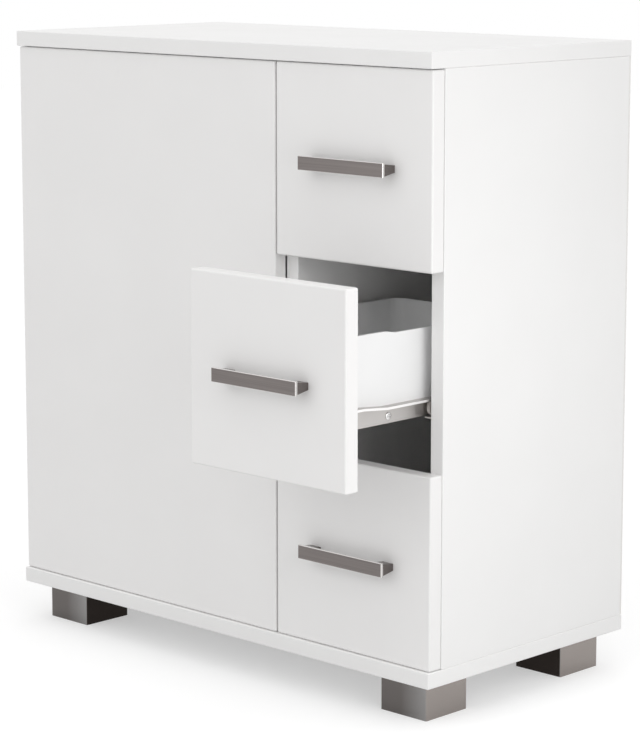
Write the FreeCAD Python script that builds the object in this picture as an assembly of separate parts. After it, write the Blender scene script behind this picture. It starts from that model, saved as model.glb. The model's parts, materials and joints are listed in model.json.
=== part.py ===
import FreeCAD, Part
import os

from FreeCAD import Vector

# White floor-standing bathroom cabinet with a push-to-open door, three drawers and four square feet.
# Millimetres. +X is to the right of someone facing it, +Y is back, +Z is up.
# The origin is on the floor, under the middle of the top and bottom panels.

# Carcass
CABINET_WIDTH = 600.0
CABINET_DEPTH = 302.0
BODY_HEIGHT = 610.0
BOARD = 16.0
BACK_BOARD = 3.0
BACK_BOARD_INSET = 1.0
PANEL_EDGE_RADIUS = 1.0
UPRIGHT_END_RADIUS = 0.8

# Door and drawer fronts
FRONT_BOARD = 16.0
FRONT_RECESS = 3.0
FRONT_GAP = 2.0
FRONT_TOP_GAP = 0.9
FRONT_BOTTOM_GAP = 0.4
FRONT_SIDE_INSET = 1.0
FRONT_EDGE_RADIUS = 2.0
CARCASS_GAP = 2.0
DRAWER_SEAT_GAP = 0.3
DRAWER_REAR_EDGE_RADIUS = 0.5
DRAWER_NAMES = ("bottom", "middle", "top")
MIDDLE_DRAWER_OPENING = 117.0

# Feet
FOOT_SIZE = 60.0
FOOT_HEIGHT = 40.0
FOOT_SIDE_INSET = 20.0
FOOT_FRONT_INSET = 20.0
FOOT_REAR_INSET = 15.0
FOOT_WALL = 2.5
FOOT_PLATE = 4.0
FOOT_EDGE_RADIUS = 1.5
FOOT_SCREW_PITCH = 30.0
FOOT_SCREW_LENGTH = 15.0
FOOT_SCREW_RADIUS = 2.0
FOOT_SCREW_HEAD_RADIUS = 4.0
FOOT_SCREW_HEAD = 2.2

# Drawer tray: heights count from the lower edge of the drawer front
TRAY_WIDTH = 152.0
TRAY_LENGTH = 250.0
TRAY_WALL = 2.5
TRAY_UNDERSIDE = 53.2
TRAY_FRONT_TOP = 139.5
TRAY_REAR_TOP = 137.2
TRAY_WAVE_START = 63.0
TRAY_WAVE_END = 85.0
TRAY_REAR_CORNER = 14.0
TRAY_BOTTOM_RADIUS = 4.0
TRAY_INNER_RADIUS = 2.75

# Roller runners: heights count from the lower edge of the drawer front
RUNNER_SPACE = 12.5
STEEL = 1.2
RAIL_TOP = 69.3
RAIL_RISE = 3.0
RAIL_RISE_FRONT = 28.0
RAIL_RISE_REAR = 60.0
RAIL_REACH = 9.5
RAIL_HEM = 2.3
RAIL_FRONT_SETBACK = 1.0
TRAY_FLANGE = 9.0
ROLLER_RADIUS = 8.0
ROLLER_WIDTH = 4.3
ROLLER_GAP = 0.3
ROLLER_SIDE_GAP = 0.3
AXLE_RADIUS = 2.0
AXLE_HEAD_RADIUS = 3.0
AXLE_HEAD = 0.6
AXLE_CLEARANCE = 0.05
FRONT_ROLLER_SETBACK = 9.0
REAR_ROLLER_END = 10.0
CHANNEL_SETBACK = 1.0
CHANNEL_LENGTH = 250.0
CHANNEL_LOWER_REACH = 9.8
CHANNEL_UPPER_REACH = 7.5
CHANNEL_UPPER_GAP = 1.0
CHANNEL_UPPER_SETBACK = 6.0
RUNNER_SCREW_RADIUS = 1.8
RUNNER_SCREW_HEAD_RADIUS = 3.75
RUNNER_SCREW_HEAD = 1.5
RUNNER_SCREW_HEIGHT = 58.9
RUNNER_SCREW_PLACES = (69.5, 205.0)
CHANNEL_SCREW_PLACES = (45.0, 185.0)
CHANNEL_SCREW_LENGTH = 13.0

# Bar handles
HANDLE_LENGTH = 112.0
HANDLE_HEIGHT = 14.0
HANDLE_BAR = 2.8
HANDLE_STANDOFF = 18.0
HANDLE_LEG = 14.0
HANDLE_LEG_INSET = 0.8
HANDLE_LEG_TOP_DROP = 1.4
HANDLE_LEG_LOW_RISE = 1.0
HANDLE_LEG_ROOT_HEIGHT = 7.0
HANDLE_LEG_ROOT_DROP = 3.2
HANDLE_EDGE_RADIUS = 0.6
HANDLE_SCREW_PITCH = 96.0
HANDLE_SCREW_RADIUS = 1.92
HANDLE_SCREW_DEPTH = 10.0
HANDLE_SCREW_HEAD_RADIUS = 4.0
HANDLE_SCREW_HEAD = 2.2

# Shelf behind the door
SHELF_HEIGHT = 337.0
SHELF_SIDE_GAP = 0.5
SHELF_FRONT_SETBACK = 12.0
SHELF_PIN_RADIUS = 2.5
SHELF_PIN_LENGTH = 16.0
SHELF_PIN_END = 40.0

# Concealed door hinges
HINGE_END = 94.0
HINGE_PIVOT_IN = 7.0
HINGE_PIVOT_DEPTH = 8.5
HINGE_PIN_RADIUS = 1.0
HINGE_CLEARANCE = 0.05
KNUCKLE_RADIUS = 2.1
ARM_SHEET = 1.1
ARM_WIDTH = 10.0
ARM_COVER = 5.0
ARM_COVER_WIDTH = 16.0
ARM_COVER_LENGTH = 46.0
ARM_COVER_SETBACK = 6.0
CUP_EDGE = 3.0
CUP_RADIUS = 17.5
CUP_DEPTH = 12.5
CUP_WALL = 0.8
CUP_LUG = 2.2
CUP_LUG_GAP = 0.2
CUP_FLANGE = 1.2
CUP_FLANGE_LENGTH = 62.0
CUP_FLANGE_WIDTH = 18.0
CUP_FLANGE_CORNER = 4.5
CUP_SCREW_PITCH = 48.0
CUP_SCREW_OFFSET = 7.0
HINGE_PLATE = 2.9
HINGE_PLATE_WIDTH = 12.0
HINGE_PLATE_LENGTH = 52.0
HINGE_PLATE_SCREW_PITCH = 32.0
HINGE_SCREW_RADIUS = 1.75
HINGE_SCREW_HEAD_RADIUS = 3.5
HINGE_SCREW_HEAD = 1.0
HINGE_SCREW_LENGTH = 11.0

# Push latch on the divider
LATCH_DROP = 62.0
LATCH_BASE = 3.0
LATCH_BASE_HEIGHT = 40.0
LATCH_EAR_LENGTH = 31.0
LATCH_BARREL_WIDTH = 14.0
LATCH_LENGTH = 62.0
LATCH_EDGE_RADIUS = 2.0
LATCH_SETBACK = 1.5
LATCH_SCREW_PITCH = 28.0
PLUNGER_RADIUS = 4.0
PLUNGER_LENGTH = 42.0
PLUNGER_CLEARANCE = 0.05
PLUNGER_TIP_RADIUS = 1.0
PLUNGER_GAP = 0.3
STRIKE = 0.8
STRIKE_SIZE = 18.0

# Knock-down fittings
FITTING_CLEARANCE = 0.05
CAM_RADIUS = 7.5
CAM_DEPTH = 12.5
CAM_END_DISTANCE = 24.0
CAM_SLOT_WIDTH = 1.6
CAM_SLOT_DEPTH = 1.5
CAM_SLOT_REACH = 4.5
CAM_BOLT_RADIUS = 3.0
CAM_BOLT_THREAD_RADIUS = 2.5
CAM_BOLT_THREAD = 11.0
CAM_BOLT_PAST_CENTRE = 2.0
CAM_BOLT_CLEARANCE = 0.3
CAM_BOLT_INSET = 50.0
DOWEL_RADIUS = 4.0
DOWEL_IN_PANEL = 10.0
DOWEL_IN_SIDE = 20.0
DOWEL_INSET = 85.0
NAIL_RADIUS = 0.8
NAIL_HEAD_RADIUS = 1.8
NAIL_HEAD = 0.8
NAIL_LENGTH = 18.0
NAIL_COUNT = 5
NAIL_END = 40.0

# Places worked out from the sizes above
LEFT = -CABINET_WIDTH / 2
RIGHT = CABINET_WIDTH / 2
PANEL_FRONT = -CABINET_DEPTH / 2
PANEL_REAR = CABINET_DEPTH / 2
BODY_BOTTOM = FOOT_HEIGHT
BODY_TOP = FOOT_HEIGHT + BODY_HEIGHT
INSIDE_BOTTOM = BODY_BOTTOM + BOARD
INSIDE_TOP = BODY_TOP - BOARD
FRONT_FACE = PANEL_FRONT + FRONT_RECESS
FRONT_BACK = FRONT_FACE + FRONT_BOARD
CARCASS_FRONT = FRONT_BACK + CARCASS_GAP
DRAWER_SEAT = FRONT_BACK + DRAWER_SEAT_GAP
CARCASS_REAR = PANEL_REAR - BACK_BOARD
LEFT_INNER = LEFT + BOARD
BAY_RIGHT = RIGHT - BOARD
BAY_LEFT = BAY_RIGHT - TRAY_WIDTH - 2 * RUNNER_SPACE
BAY_MIDDLE = (BAY_LEFT + BAY_RIGHT) / 2
DIVIDER_LEFT = BAY_LEFT - BOARD
DOOR_LEFT = LEFT + FRONT_SIDE_INSET
DRAWER_FRONT_LEFT = DIVIDER_LEFT + FRONT_GAP
DRAWER_FRONT_RIGHT = RIGHT - FRONT_SIDE_INSET
FRONTS_BOTTOM = INSIDE_BOTTOM + FRONT_BOTTOM_GAP
FRONTS_TOP = INSIDE_TOP - FRONT_TOP_GAP
DRAWER_COUNT = len(DRAWER_NAMES)
DRAWER_PITCH = (FRONTS_TOP - FRONTS_BOTTOM + FRONT_GAP) / DRAWER_COUNT
DRAWER_FRONT_HEIGHT = DRAWER_PITCH - FRONT_GAP
HANDLE_MIDDLE = (DRAWER_FRONT_LEFT + DRAWER_FRONT_RIGHT) / 2
TRAY_RIGHT = BAY_MIDDLE + TRAY_WIDTH / 2
RAIL_UNDERSIDE = RAIL_TOP - STEEL
ROLLER_HEIGHT = RAIL_UNDERSIDE - ROLLER_GAP - ROLLER_RADIUS
CHANNEL_FLOOR = ROLLER_HEIGHT - ROLLER_RADIUS - ROLLER_GAP
ROLLER_OUTER = TRAY_RIGHT + RAIL_REACH - STEEL - ROLLER_SIDE_GAP
ROLLER_INNER = ROLLER_OUTER - ROLLER_WIDTH
CHANNEL_FRONT = CARCASS_FRONT + CHANNEL_SETBACK
FRONT_ROLLER_Y = CHANNEL_FRONT + FRONT_ROLLER_SETBACK
REAR_ROLLER_Y = FRONT_BACK + TRAY_LENGTH - REAR_ROLLER_END
UPRIGHTS = (
    (LEFT, LEFT_INNER, LEFT_INNER, 1),
    (DIVIDER_LEFT, BAY_LEFT, DIVIDER_LEFT, -1),
    (BAY_RIGHT, RIGHT, BAY_RIGHT, -1),
)
HINGE_HEIGHTS = {"lower": FRONTS_BOTTOM + HINGE_END, "upper": FRONTS_TOP - HINGE_END}
PIVOT_X = DOOR_LEFT + HINGE_PIVOT_IN
PIVOT_Y = FRONT_BACK - HINGE_PIVOT_DEPTH
CUP_X = DOOR_LEFT + CUP_EDGE + CUP_RADIUS
CUP_SCREW_X = CUP_X + CUP_SCREW_OFFSET
HINGE_PLATE_Y = CARCASS_FRONT + ARM_COVER_SETBACK + ARM_COVER_LENGTH / 2
ARM_FACE = LEFT_INNER + HINGE_PLATE
LATCH_HEIGHT = INSIDE_TOP - LATCH_DROP
LATCH_FRONT = CARCASS_FRONT + LATCH_SETBACK
PLUNGER_X = DIVIDER_LEFT - LATCH_BASE - LATCH_BARREL_WIDTH / 2
SHELF_TOP = SHELF_HEIGHT + BOARD
BOLT_DEPTHS = (CARCASS_FRONT + CAM_BOLT_INSET, CARCASS_REAR - CAM_BOLT_INSET)
DOWEL_DEPTHS = (CARCASS_FRONT + DOWEL_INSET, CARCASS_REAR - DOWEL_INSET)
SHELF_PIN_DEPTHS = (CARCASS_FRONT + SHELF_FRONT_SETBACK + SHELF_PIN_END, CARCASS_REAR - SHELF_PIN_END)
PANEL_ENDS = ((INSIDE_BOTTOM, 1), (INSIDE_TOP, -1))


def block(x0, x1, y0, y1, z0, z1):
    return Part.makeBox(x1 - x0, y1 - y0, z1 - z0, Vector(x0, y0, z0))


def rod(radius, start, direction, length):
    return Part.makeCylinder(radius, length, Vector(*start), Vector(*direction))


def joined(shapes):
    return shapes[0].fuse(shapes[1:]).removeSplitter()


def rounded(shape, radius, chosen=None):
    """Rounds every edge, or only those for which chosen(edge) is true."""
    edges = shape.Edges
    if chosen:
        edges = [edge for edge in edges if chosen(edge)]
    return shape.makeFillet(radius, edges)


def runs_along(edge, axis):
    """True for a straight edge that runs along axis 0, 1 or 2."""
    start = edge.Vertexes[0].Point
    end = edge.Vertexes[-1].Point
    offsets = [abs(end[i] - start[i]) for i in range(3)]
    return offsets[axis] > 0 and sum(offsets) - offsets[axis] < 1e-6


def side_extrusion(points, x0, x1):
    """A prism between x0 and x1 whose outline is given as (y, z) points."""
    corners = [Vector(x0, y, z) for y, z in points]
    outline = Part.makePolygon(corners + corners[:1])
    return Part.Face(outline).extrude(Vector(x1 - x0, 0, 0))


def both_sides(shape):
    """The shape on the right of the drawer bay and its mirror image on the left."""
    return [shape, shape.mirror(Vector(BAY_MIDDLE, 0, 0), Vector(1, 0, 0))]


def moved(shapes, y, z):
    """Copies of the shapes, carried back by y and up by z."""
    copies = [shape.copy() for shape in shapes]
    for copy in copies:
        copy.translate(Vector(0, y, z))
    return copies


def write(node, shapes):
    solids = [solid for shape in shapes for solid in shape.Solids]
    whole = solids[0] if len(solids) == 1 else Part.makeCompound(solids)
    whole.exportStep(f"parts/{node}.step")


def screw(head_at, direction, radius, length, head_radius, head):
    """A screw whose head rests on the face at head_at and whose shank goes in along direction."""
    back = [-part for part in direction]
    shank = rod(radius, head_at, direction, length)
    cap = rod(head_radius, head_at, back, head)
    return joined([shank, cap])


def upright_middle(upright):
    return (upright[0] + upright[1]) / 2


def bolt_holes():
    """Holes for the cam bolts, from the thread in the panel to past the cam's centre."""
    holes = []
    for upright in UPRIGHTS:
        x = upright_middle(upright)
        for z, inward in PANEL_ENDS:
            for y in BOLT_DEPTHS:
                thread = CAM_BOLT_THREAD_RADIUS + FITTING_CLEARANCE
                shank = CAM_BOLT_RADIUS + CAM_BOLT_CLEARANCE
                holes.append(rod(thread, (x, y, z), (0, 0, -inward), CAM_BOLT_THREAD))
                reach = CAM_END_DISTANCE + CAM_BOLT_PAST_CENTRE + CAM_BOLT_CLEARANCE
                holes.append(rod(shank, (x, y, z), (0, 0, inward), reach))
    return holes


def cam_bolts():
    bolts = []
    for upright in UPRIGHTS:
        x = upright_middle(upright)
        for z, inward in PANEL_ENDS:
            for y in BOLT_DEPTHS:
                thread = rod(CAM_BOLT_THREAD_RADIUS, (x, y, z), (0, 0, -inward), CAM_BOLT_THREAD)
                reach = CAM_END_DISTANCE + CAM_BOLT_PAST_CENTRE
                shank = rod(CAM_BOLT_RADIUS, (x, y, z), (0, 0, inward), reach)
                bolts.append(joined([thread, shank]))
    return bolts


def cam_discs(radius):
    """Discs of the cams' depth, sunk in the open face of each upright."""
    discs = []
    for left, right, face, outward in UPRIGHTS:
        for z, inward in PANEL_ENDS:
            for y in BOLT_DEPTHS:
                centre = (face, y, z + inward * CAM_END_DISTANCE)
                discs.append(rod(radius, centre, (-outward, 0, 0), CAM_DEPTH))
    return discs


def cam_locks():
    slots = []
    for left, right, face, outward in UPRIGHTS:
        inner = face - outward * CAM_SLOT_DEPTH
        for z, inward in PANEL_ENDS:
            for y in BOLT_DEPTHS:
                height = z + inward * CAM_END_DISTANCE
                half = CAM_SLOT_WIDTH / 2
                arm = CAM_SLOT_REACH
                x0, x1 = sorted((inner, face))
                slots.append(block(x0, x1, y - arm, y + arm, height - half, height + half))
                slots.append(block(x0, x1, y - half, y + half, height - arm, height + arm))
    cutters = bolt_holes() + slots
    return [disc.cut(cutters) for disc in cam_discs(CAM_RADIUS)]


def dowels(clearance):
    """Dowels across each joint of an upright with the top or bottom panel."""
    pins = []
    for upright in UPRIGHTS:
        x = upright_middle(upright)
        for z, inward in PANEL_ENDS:
            for y in DOWEL_DEPTHS:
                start = (x, y, z - inward * (DOWEL_IN_PANEL + clearance))
                length = DOWEL_IN_PANEL + DOWEL_IN_SIDE + 2 * clearance
                pins.append(rod(DOWEL_RADIUS + clearance, start, (0, 0, inward), length))
    return pins


def shelf_pins(clearance):
    """Pins under the shelf, half in the boards beside it."""
    pins = []
    z = SHELF_HEIGHT - SHELF_PIN_RADIUS - FITTING_CLEARANCE
    half = SHELF_PIN_LENGTH / 2
    for face in (LEFT_INNER, DIVIDER_LEFT):
        for y in SHELF_PIN_DEPTHS:
            start = (face - half - clearance, y, z)
            length = SHELF_PIN_LENGTH + 2 * clearance
            pins.append(rod(SHELF_PIN_RADIUS + clearance, start, (1, 0, 0), length))
    return pins


def nails(clearance):
    """Nails through the back panel into the rear edge of each upright, with sunk heads."""
    first = INSIDE_BOTTOM + NAIL_END
    step = (INSIDE_TOP - INSIDE_BOTTOM - 2 * NAIL_END) / (NAIL_COUNT - 1)
    pins = []
    for upright in UPRIGHTS:
        x = upright_middle(upright)
        for i in range(NAIL_COUNT):
            start = (x, PANEL_REAR, first + i * step)
            shank = rod(NAIL_RADIUS + clearance, start, (0, -1, 0), NAIL_LENGTH + clearance)
            head = rod(NAIL_HEAD_RADIUS + clearance, start, (0, -1, 0), NAIL_HEAD)
            pins.append(joined([shank, head]))
    return pins


def foot_corners():
    """The lower left front corner of each foot, by name."""
    left = LEFT + FOOT_SIDE_INSET
    right = RIGHT - FOOT_SIDE_INSET - FOOT_SIZE
    front = PANEL_FRONT + FOOT_FRONT_INSET
    rear = PANEL_REAR - FOOT_REAR_INSET - FOOT_SIZE
    return {
        "front_left": (left, front),
        "front_right": (right, front),
        "rear_left": (left, rear),
        "rear_right": (right, rear),
    }


def foot_screw_places(x, y):
    middle_x = x + FOOT_SIZE / 2
    middle_y = y + FOOT_SIZE / 2
    half = FOOT_SCREW_PITCH / 2
    return [(middle_x + sx * half, middle_y + sy * half) for sx in (-1, 1) for sy in (-1, 1)]


def foot(x, y):
    """A square moulded foot, open underneath, with a cross of ribs and a screwed top plate."""
    outer = block(x, x + FOOT_SIZE, y, y + FOOT_SIZE, 0, FOOT_HEIGHT)
    outer = rounded(outer, FOOT_EDGE_RADIUS, lambda edge: runs_along(edge, 2))
    inner = FOOT_SIZE - FOOT_WALL
    roof = FOOT_HEIGHT - FOOT_PLATE
    hollow = block(x + FOOT_WALL, x + inner, y + FOOT_WALL, y + inner, 0, roof)
    middle = FOOT_SIZE / 2
    half = FOOT_WALL / 2
    rib_x = block(x + FOOT_WALL, x + inner, y + middle - half, y + middle + half, FOOT_WALL, roof)
    rib_y = block(x + middle - half, x + middle + half, y + FOOT_WALL, y + inner, FOOT_WALL, roof)
    shell = joined([outer.cut(hollow), rib_x, rib_y])
    radius = FOOT_SCREW_RADIUS + FITTING_CLEARANCE
    holes = [rod(radius, (sx, sy, roof), (0, 0, 1), FOOT_PLATE) for sx, sy in foot_screw_places(x, y)]
    return shell.cut(holes)


def foot_screws():
    screws = []
    roof = FOOT_HEIGHT - FOOT_PLATE
    for x, y in foot_corners().values():
        for sx, sy in foot_screw_places(x, y):
            head = (FOOT_SCREW_HEAD_RADIUS, FOOT_SCREW_HEAD)
            screws.append(screw((sx, sy, roof), (0, 0, 1), FOOT_SCREW_RADIUS, FOOT_SCREW_LENGTH, *head))
    return screws


def foot_screw_holes():
    radius = FOOT_SCREW_RADIUS + FITTING_CLEARANCE
    depth = FOOT_SCREW_LENGTH - FOOT_PLATE + FITTING_CLEARANCE
    holes = []
    for x, y in foot_corners().values():
        for sx, sy in foot_screw_places(x, y):
            holes.append(rod(radius, (sx, sy, BODY_BOTTOM), (0, 0, 1), depth))
    return holes


def carcass_panels():
    """The top, bottom, uprights and back, drilled for their fittings."""
    fittings = bolt_holes() + dowels(FITTING_CLEARANCE)
    uprights_drilled = fittings + cam_discs(CAM_RADIUS + FITTING_CLEARANCE) + nails(FITTING_CLEARANCE)
    top = block(LEFT, RIGHT, PANEL_FRONT, PANEL_REAR, INSIDE_TOP, BODY_TOP)
    bottom = block(LEFT, RIGHT, PANEL_FRONT, PANEL_REAR, BODY_BOTTOM, INSIDE_BOTTOM)
    panels = {
        "top_panel": rounded(top, PANEL_EDGE_RADIUS).cut(fittings),
        "bottom_panel": rounded(bottom, PANEL_EDGE_RADIUS).cut(fittings + foot_screw_holes()),
    }
    pin_holes = shelf_pins(FITTING_CLEARANCE)
    extra_holes = {
        "left_side_panel": pin_holes + hinge_plate_screw_holes(),
        "centre_divider": pin_holes + latch_screw_holes() + channel_screw_holes(),
        "right_side_panel": channel_screw_holes(),
    }
    upright_fronts = {
        "left_side_panel": CARCASS_FRONT,
        "centre_divider": DRAWER_SEAT,
        "right_side_panel": DRAWER_SEAT,
    }
    for (name, front), upright in zip(upright_fronts.items(), UPRIGHTS):
        board = block(upright[0], upright[1], front, CARCASS_REAR, INSIDE_BOTTOM, INSIDE_TOP)
        board = rounded(board, PANEL_EDGE_RADIUS, lambda edge: runs_along(edge, 2))
        board = rounded(board, UPRIGHT_END_RADIUS, lambda edge: edge.BoundBox.ZLength < UPRIGHT_END_RADIUS)
        panels[name] = board.cut(uprights_drilled + extra_holes[name])
    inset_left = LEFT + BACK_BOARD_INSET
    inset_right = RIGHT - BACK_BOARD_INSET
    back = block(inset_left, inset_right, CARCASS_REAR, PANEL_REAR, INSIDE_BOTTOM, INSIDE_TOP)
    panels["back_panel"] = back.cut(nails(FITTING_CLEARANCE))
    return panels


def shelf():
    left = LEFT_INNER + SHELF_SIDE_GAP
    right = DIVIDER_LEFT - SHELF_SIDE_GAP
    front = CARCASS_FRONT + SHELF_FRONT_SETBACK
    board = block(left, right, front, CARCASS_REAR - SHELF_SIDE_GAP, SHELF_HEIGHT, SHELF_TOP)
    return rounded(board, PANEL_EDGE_RADIUS)


def hinge_arm(z):
    """The fixed arm: a knuckle on the pin, a crank out of the cup and a covered shank on its plate."""
    z0 = z - ARM_WIDTH / 2
    z1 = z + ARM_WIDTH / 2
    low = PIVOT_Y - KNUCKLE_RADIUS
    outer = ARM_FACE + ARM_SHEET
    knuckle = rod(KNUCKLE_RADIUS, (PIVOT_X, PIVOT_Y, z0), (0, 0, 1), ARM_WIDTH)
    crank = block(PIVOT_X, outer, low, low + ARM_SHEET, z0, z1)
    cover_front = CARCASS_FRONT + ARM_COVER_SETBACK
    cover_rear = cover_front + ARM_COVER_LENGTH
    shank = block(ARM_FACE, outer, low, cover_rear, z0, z1)
    half = ARM_COVER_WIDTH / 2
    cover = block(ARM_FACE, ARM_FACE + ARM_COVER, cover_front, cover_rear, z - half, z + half)
    cover = rounded(cover, PANEL_EDGE_RADIUS, lambda edge: edge.BoundBox.XMin > outer)
    bore = rod(HINGE_PIN_RADIUS + HINGE_CLEARANCE, (PIVOT_X, PIVOT_Y, z0), (0, 0, 1), ARM_WIDTH)
    return joined([knuckle, crank, shank, cover]).cut(bore)


def hinge_plate_screw_places(z):
    half = HINGE_PLATE_SCREW_PITCH / 2
    return [(HINGE_PLATE_Y, z - half), (HINGE_PLATE_Y, z + half)]


def hinge_plate(z):
    """A cross-shaped plate on the side panel: a rail under the arm and two screwed wings."""
    half_cover = ARM_COVER_WIDTH / 2
    rail_front = CARCASS_FRONT + ARM_COVER_SETBACK
    rail_rear = rail_front + ARM_COVER_LENGTH
    rail = block(LEFT_INNER, ARM_FACE, rail_front, rail_rear, z - half_cover, z + half_cover)
    half = HINGE_PLATE_LENGTH / 2
    wing_front = HINGE_PLATE_Y - HINGE_PLATE_WIDTH / 2
    wing_rear = HINGE_PLATE_Y + HINGE_PLATE_WIDTH / 2
    wings = block(LEFT_INNER, ARM_FACE, wing_front, wing_rear, z - half, z + half)
    radius = HINGE_SCREW_RADIUS + FITTING_CLEARANCE
    places = hinge_plate_screw_places(z)
    holes = [rod(radius, (LEFT_INNER, sy, sz), (1, 0, 0), HINGE_PLATE) for sy, sz in places]
    return joined([rail, wings]).cut(holes)


def hinge_plate_screws():
    screws = []
    head = (HINGE_SCREW_HEAD_RADIUS, HINGE_SCREW_HEAD)
    for z in HINGE_HEIGHTS.values():
        for sy, sz in hinge_plate_screw_places(z):
            length = HINGE_PLATE + HINGE_SCREW_LENGTH
            screws.append(screw((ARM_FACE, sy, sz), (-1, 0, 0), HINGE_SCREW_RADIUS, length, *head))
    return screws


def hinge_plate_screw_holes():
    radius = HINGE_SCREW_RADIUS + FITTING_CLEARANCE
    depth = HINGE_SCREW_LENGTH + FITTING_CLEARANCE
    holes = []
    for z in HINGE_HEIGHTS.values():
        for sy, sz in hinge_plate_screw_places(z):
            holes.append(rod(radius, (LEFT_INNER, sy, sz), (-1, 0, 0), depth))
    return holes


def hinge_pin(z):
    half = ARM_WIDTH / 2 + CUP_LUG_GAP + CUP_LUG
    return rod(HINGE_PIN_RADIUS, (PIVOT_X, PIVOT_Y, z - half), (0, 0, 1), 2 * half)


def cup_screw_places(z):
    half = CUP_SCREW_PITCH / 2
    return [(CUP_SCREW_X, z - half), (CUP_SCREW_X, z + half)]


def hinge_cup(z):
    """The cup in the door: a round pot with a flange on the door's back and two lugs for the pin."""
    pot = rod(CUP_RADIUS, (CUP_X, FRONT_BACK, z), (0, -1, 0), CUP_DEPTH)
    flange_half = CUP_FLANGE_LENGTH / 2
    flange_left = CUP_SCREW_X - CUP_FLANGE_WIDTH / 2
    flange_right = CUP_SCREW_X + CUP_FLANGE_WIDTH / 2
    flange_top = FRONT_BACK + CUP_FLANGE
    flange = block(flange_left, flange_right, FRONT_BACK, flange_top, z - flange_half, z + flange_half)
    flange = rounded(flange, CUP_FLANGE_CORNER, lambda edge: runs_along(edge, 1))
    cavity_floor = CUP_DEPTH - CUP_WALL
    cavity = rod(CUP_RADIUS - CUP_WALL, (CUP_X, flange_top, z), (0, -1, 0), CUP_FLANGE + cavity_floor)
    shell = joined([pot, flange]).cut(cavity)
    lug_half = HINGE_PIN_RADIUS + CUP_WALL
    near = ARM_WIDTH / 2 + CUP_LUG_GAP
    far = near + CUP_LUG
    floor = FRONT_BACK - cavity_floor
    lugs = []
    for low, high in ((z - far, z - near), (z + near, z + far)):
        lugs.append(block(PIVOT_X - lug_half, PIVOT_X + lug_half, floor, PIVOT_Y + lug_half, low, high))
    holes = [hinge_pin_hole(z)]
    radius = HINGE_SCREW_RADIUS + FITTING_CLEARANCE
    for sx, sz in cup_screw_places(z):
        holes.append(rod(radius, (sx, FRONT_BACK, sz), (0, 1, 0), CUP_FLANGE))
    return joined([shell] + lugs).cut(holes)


def hinge_pin_hole(z):
    half = ARM_WIDTH / 2 + CUP_LUG_GAP + CUP_LUG
    radius = HINGE_PIN_RADIUS + HINGE_CLEARANCE
    return rod(radius, (PIVOT_X, PIVOT_Y, z - half), (0, 0, 1), 2 * half)


def hinge_cup_screws():
    screws = []
    head = (HINGE_SCREW_HEAD_RADIUS, HINGE_SCREW_HEAD)
    for z in HINGE_HEIGHTS.values():
        for sx, sz in cup_screw_places(z):
            start = (sx, FRONT_BACK + CUP_FLANGE, sz)
            screws.append(screw(start, (0, -1, 0), HINGE_SCREW_RADIUS, HINGE_SCREW_LENGTH, *head))
    return screws


def door_panel():
    board = block(DOOR_LEFT, DIVIDER_LEFT, FRONT_FACE, FRONT_BACK, FRONTS_BOTTOM, FRONTS_TOP)
    board = rounded(board, FRONT_EDGE_RADIUS)
    holes = []
    radius = HINGE_SCREW_RADIUS + FITTING_CLEARANCE
    depth = HINGE_SCREW_LENGTH - CUP_FLANGE + FITTING_CLEARANCE
    for z in HINGE_HEIGHTS.values():
        holes.append(rod(CUP_RADIUS + FITTING_CLEARANCE, (CUP_X, FRONT_BACK, z), (0, -1, 0), CUP_DEPTH))
        for sx, sz in cup_screw_places(z):
            holes.append(rod(radius, (sx, FRONT_BACK, sz), (0, -1, 0), depth))
    return board.cut(holes)


def latch_strike():
    """A thin steel plate on the back of the door, where the latch pushes."""
    half = STRIKE_SIZE / 2
    x0 = PLUNGER_X - half
    x1 = min(PLUNGER_X + half, DIVIDER_LEFT - FRONT_EDGE_RADIUS)
    plate = block(x0, x1, FRONT_BACK, FRONT_BACK + STRIKE, LATCH_HEIGHT - half, LATCH_HEIGHT + half)
    return rounded(plate, FRONT_EDGE_RADIUS, lambda edge: runs_along(edge, 1))


def latch_screw_places():
    half = LATCH_SCREW_PITCH / 2
    y = LATCH_FRONT + LATCH_LENGTH / 2
    return [(y, LATCH_HEIGHT - half), (y, LATCH_HEIGHT + half)]


def push_latch_body():
    """A barrel for the plunger on a screwed base plate."""
    base_face = DIVIDER_LEFT - LATCH_BASE
    ear_low = LATCH_HEIGHT - LATCH_BASE_HEIGHT / 2
    ear_high = LATCH_HEIGHT + LATCH_BASE_HEIGHT / 2
    ear_front = LATCH_FRONT + (LATCH_LENGTH - LATCH_EAR_LENGTH) / 2
    ear_rear = ear_front + LATCH_EAR_LENGTH
    ears = block(base_face, DIVIDER_LEFT, ear_front, ear_rear, ear_low, ear_high)
    half = LATCH_BARREL_WIDTH / 2
    barrel_left = base_face - LATCH_BARREL_WIDTH
    rear = LATCH_FRONT + LATCH_LENGTH
    barrel = block(barrel_left, DIVIDER_LEFT, LATCH_FRONT, rear, LATCH_HEIGHT - half, LATCH_HEIGHT + half)
    barrel = rounded(barrel, LATCH_EDGE_RADIUS, lambda e: runs_along(e, 1) and e.BoundBox.XMax < base_face)
    bore_radius = PLUNGER_RADIUS + PLUNGER_CLEARANCE
    bore_start = (PLUNGER_X, LATCH_FRONT, LATCH_HEIGHT)
    bore = rod(bore_radius, bore_start, (0, 1, 0), LATCH_LENGTH - LATCH_BASE)
    radius = HINGE_SCREW_RADIUS + FITTING_CLEARANCE
    holes = [rod(radius, (base_face, y, z), (1, 0, 0), LATCH_BASE) for y, z in latch_screw_places()]
    return joined([barrel, ears]).cut([bore] + holes)


def latch_screws():
    head = (HINGE_SCREW_HEAD_RADIUS, HINGE_SCREW_HEAD)
    length = LATCH_BASE + HINGE_SCREW_LENGTH
    face = DIVIDER_LEFT - LATCH_BASE
    places = latch_screw_places()
    return [screw((face, y, z), (1, 0, 0), HINGE_SCREW_RADIUS, length, *head) for y, z in places]


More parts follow.
